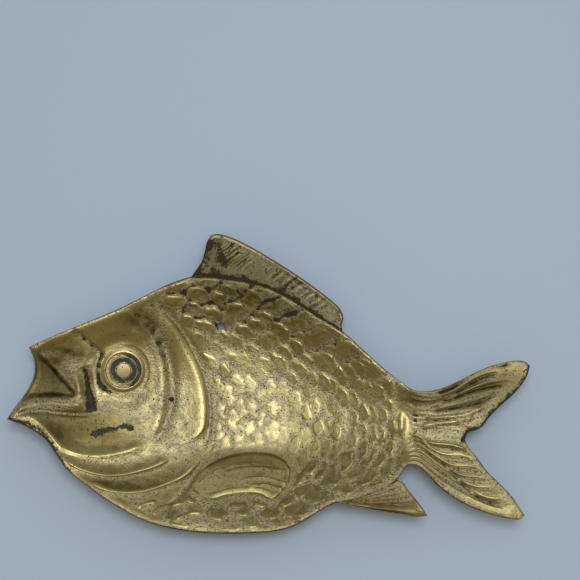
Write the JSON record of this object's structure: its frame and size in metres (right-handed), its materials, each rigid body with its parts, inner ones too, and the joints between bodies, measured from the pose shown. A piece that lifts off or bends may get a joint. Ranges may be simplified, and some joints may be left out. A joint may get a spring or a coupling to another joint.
{
  "type": "fish-shaped dish",
  "caption": "Shallow cast metal dish shaped as an open-mouthed fish, carved with scales, fins and eye, with a nail hole for hanging.",
  "frame": {"origin": "centre of the dish's outline, on the plane that its ground foot rests on", "axes": "+X from the nose to the tail, +Y toward the dorsal fin, +Z out of the hollow side"},
  "size_m": [0.2, 0.1148, 0.0142],
  "materials": {
    "brass": "worn, sand cast, patina in the grooves",
    "dark_brass": "darkened, rough sand cast"
  },
  "bodies": {
    "root": {"head": "brass", "gill_cover": "brass", "flank": "brass", "tail_lower_lobe": "brass", "tail_upper_lobe": "brass", "dorsal_fin": "dark_brass", "anal_fin": "brass", "pectoral_fin": "brass", "eye_pupil": "brass", "eye_ring": "brass", "eye_socket_ring": "brass"}
  },
  "joints": []
}
